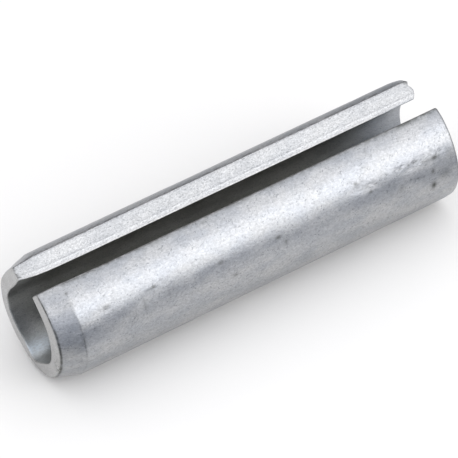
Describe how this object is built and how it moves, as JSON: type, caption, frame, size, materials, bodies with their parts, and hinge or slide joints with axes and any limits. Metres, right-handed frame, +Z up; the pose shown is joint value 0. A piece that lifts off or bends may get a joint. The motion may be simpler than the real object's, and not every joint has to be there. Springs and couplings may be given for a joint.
{
  "type": "slotted spring pin",
  "caption": "Slotted spring pin rolled from steel strip into an open C, with a long shallow chamfer at one end and a plain, rounded rim at the other. Zinc coated.",
  "frame": {"origin": "under the middle of the pin, on the surface that it lies on", "axes": "+X along the pin from the chamfered end to the plain end, +Z up through the slot"},
  "size_m": [0.0304, 0.0084, 0.0081],
  "materials": {
    "zinc_coated_steel": "mottled light grey zinc coating, satin, slightly rough"
  },
  "bodies": {
    "root": {"spring_pin": "zinc_coated_steel"}
  },
  "joints": []
}
